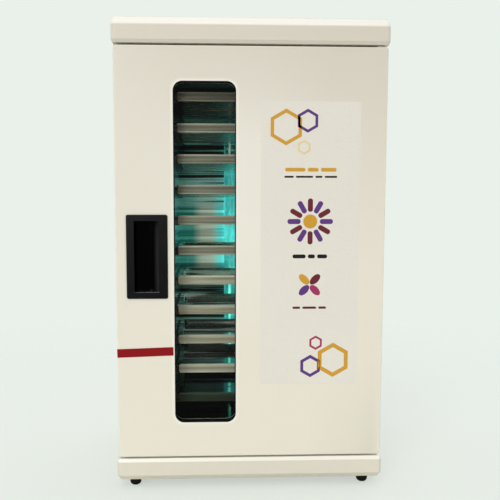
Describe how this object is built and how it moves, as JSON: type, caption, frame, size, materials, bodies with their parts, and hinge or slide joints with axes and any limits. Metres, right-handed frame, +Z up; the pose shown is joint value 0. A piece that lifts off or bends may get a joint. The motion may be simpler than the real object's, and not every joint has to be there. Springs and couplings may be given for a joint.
{
  "type": "ultraviolet tray cabinet",
  "caption": "Upright bench cabinet with a glazed hinged door, recessed pull, lit chamber of sliding instrument trays, side controls, sloped-edge caps and rubber feet.",
  "frame": {"origin": "under the middle of the case, on the surface that the feet stand on", "axes": "+Z up, +X to the right of a person who faces the door, -Y towards that person"},
  "size_m": [0.352, 0.254, 0.6075],
  "materials": {
    "cabinet_paint": "semi-gloss ivory powder coat",
    "zinc_steel": "zinc-plated steel",
    "polished_steel": "bright-rolled stainless sheet",
    "rail_steel": "folded stainless, satin",
    "tray_steel": "satin stainless tray",
    "black_rubber": "black rubber",
    "seal_foam": "dark closed-cell foam",
    "lamp_glass": "quartz tube, glowing",
    "aluminium": "pressed aluminium",
    "mirror_aluminium": "bright reflector sheet",
    "white_plastic": "moulded plastic",
    "natural_nylon": "natural nylon",
    "ballast_case": "grey enamel",
    "black_plastic": "fine-grained black plastic",
    "handle_plastic": "satin black plastic",
    "red_rocker": "translucent red plastic",
    "pilot_lens": "amber-red lens",
    "window_glass": "clear toughened glass",
    "label_film": "printed vinyl sheet",
    "strip_film": "dark red vinyl",
    "catch_case": "brown plastic",
    "lead_sheath": "PVC sheath"
  },
  "bodies": {
    "cabinet": {"top_cap": "cabinet_paint", "top_deck": "zinc_steel", "base_cap": "cabinet_paint", "base_deck": "zinc_steel", "feet": "black_rubber", "side_panel_left": "cabinet_paint", "side_panel_right": "cabinet_paint", "rear_panel": "cabinet_paint", "panel_screws": "zinc_steel", "front_frame": "cabinet_paint", "chamber_wall_left": "polished_steel", "chamber_wall_right": "polished_steel", "chamber_back": "polished_steel", "chamber_ceiling": "polished_steel", "chamber_floor": "polished_steel", "tray_rails_left": "rail_steel", "tray_rails_right": "rail_steel", "uv_lamp": "lamp_glass", "lamp_end_caps": "aluminium", "lamp_holders": "white_plastic", "lamp_reflector": "mirror_aluminium", "ballast": "ballast_case", "starter": "white_plastic", "terminal_block": "natural_nylon", "mains_inlet": "black_plastic", "control_plate": "black_plastic", "switch_housing": "black_plastic", "pilot_lamp": "pilot_lens", "fuse_holder": "black_plastic", "hinge_plates": "zinc_steel", "hinge_pins": "zinc_steel", "magnet_catch": "catch_case", "door_switch_body": "black_plastic", "supply_leads": "lead_sheath", "lamp_leads": "lead_sheath", "control_leads": "lead_sheath"},
    "door": {"door_skin": "cabinet_paint", "door_liner": "cabinet_paint", "window_gasket": "black_rubber", "window_glass": "window_glass", "window_frame": "black_plastic", "door_gasket": "seal_foam", "handle_pocket": "handle_plastic", "strike_plate": "zinc_steel", "front_label": "label_film", "notice_strip": "strip_film", "hinge_bushes": "white_plastic"},
    "tray_01_body": {"tray_01": "tray_steel"},
    "tray_02_body": {"tray_02": "tray_steel"},
    "tray_03_body": {"tray_03": "tray_steel"},
    "tray_04_body": {"tray_04": "tray_steel"},
    "tray_05_body": {"tray_05": "tray_steel"},
    "tray_06_body": {"tray_06": "tray_steel"},
    "tray_07_body": {"tray_07": "tray_steel"},
    "tray_08_body": {"tray_08": "tray_steel"},
    "tray_09_body": {"tray_09": "tray_steel"},
    "tray_10_body": {"tray_10": "tray_steel"},
    "tray_11_body": {"tray_11": "tray_steel"},
    "rocker": {"power_rocker": "red_rocker"},
    "plunger": {"door_plunger": "white_plastic"}
  },
  "joints": [
    {"name": "door_hinge", "type": "hinge", "parent": "cabinet", "child": "door", "pos_m": [0.164, -0.114, 0.308], "axis": [0, 0, 1], "range_deg": [0, 120]},
    {"name": "power_rocker", "type": "hinge", "parent": "cabinet", "child": "rocker", "pos_m": [-0.167, -0.03, 0.252], "axis": [0, -1, 0], "range_deg": [0, 18]},
    {"name": "door_switch_plunger", "type": "slide", "parent": "cabinet", "child": "plunger", "axis": [0, -1, 0], "range_m": [0, 0.004]},
    {"name": "tray_01_slide", "type": "slide", "parent": "cabinet", "child": "tray_01_body", "axis": [0, -1, 0], "range_m": [0, 0.09]},
    {"name": "tray_02_slide", "type": "slide", "parent": "cabinet", "child": "tray_02_body", "axis": [0, -1, 0], "range_m": [0, 0.09]},
    {"name": "tray_03_slide", "type": "slide", "parent": "cabinet", "child": "tray_03_body", "axis": [0, -1, 0], "range_m": [0, 0.09]},
    {"name": "tray_04_slide", "type": "slide", "parent": "cabinet", "child": "tray_04_body", "axis": [0, -1, 0], "range_m": [0, 0.09]},
    {"name": "tray_05_slide", "type": "slide", "parent": "cabinet", "child": "tray_05_body", "axis": [0, -1, 0], "range_m": [0, 0.09]},
    {"name": "tray_06_slide", "type": "slide", "parent": "cabinet", "child": "tray_06_body", "axis": [0, -1, 0], "range_m": [0, 0.09]},
    {"name": "tray_07_slide", "type": "slide", "parent": "cabinet", "child": "tray_07_body", "axis": [0, -1, 0], "range_m": [0, 0.09]},
    {"name": "tray_08_slide", "type": "slide", "parent": "cabinet", "child": "tray_08_body", "axis": [0, -1, 0], "range_m": [0, 0.09]},
    {"name": "tray_09_slide", "type": "slide", "parent": "cabinet", "child": "tray_09_body", "axis": [0, -1, 0], "range_m": [0, 0.09]},
    {"name": "tray_10_slide", "type": "slide", "parent": "cabinet", "child": "tray_10_body", "axis": [0, -1, 0], "range_m": [0, 0.09]},
    {"name": "tray_11_slide", "type": "slide", "parent": "cabinet", "child": "tray_11_body", "axis": [0, -1, 0], "range_m": [0, 0.09]}
  ],
  "couplings": [
    {"joint": "door_switch_plunger", "follows": "door_hinge", "m_per_rad": 0.0019},
    {"joint": "tray_01_slide", "follows": "door_hinge", "m_per_rad": 0.042},
    {"joint": "tray_02_slide", "follows": "door_hinge", "m_per_rad": 0.042},
    {"joint": "tray_03_slide", "follows": "door_hinge", "m_per_rad": 0.042},
    {"joint": "tray_04_slide", "follows": "door_hinge", "m_per_rad": 0.042},
    {"joint": "tray_05_slide", "follows": "door_hinge", "m_per_rad": 0.042},
    {"joint": "tray_06_slide", "follows": "door_hinge", "m_per_rad": 0.042},
    {"joint": "tray_07_slide", "follows": "door_hinge", "m_per_rad": 0.042},
    {"joint": "tray_08_slide", "follows": "door_hinge", "m_per_rad": 0.042},
    {"joint": "tray_09_slide", "follows": "door_hinge", "m_per_rad": 0.042},
    {"joint": "tray_10_slide", "follows": "door_hinge", "m_per_rad": 0.042},
    {"joint": "tray_11_slide", "follows": "door_hinge", "m_per_rad": 0.042}
  ]
}
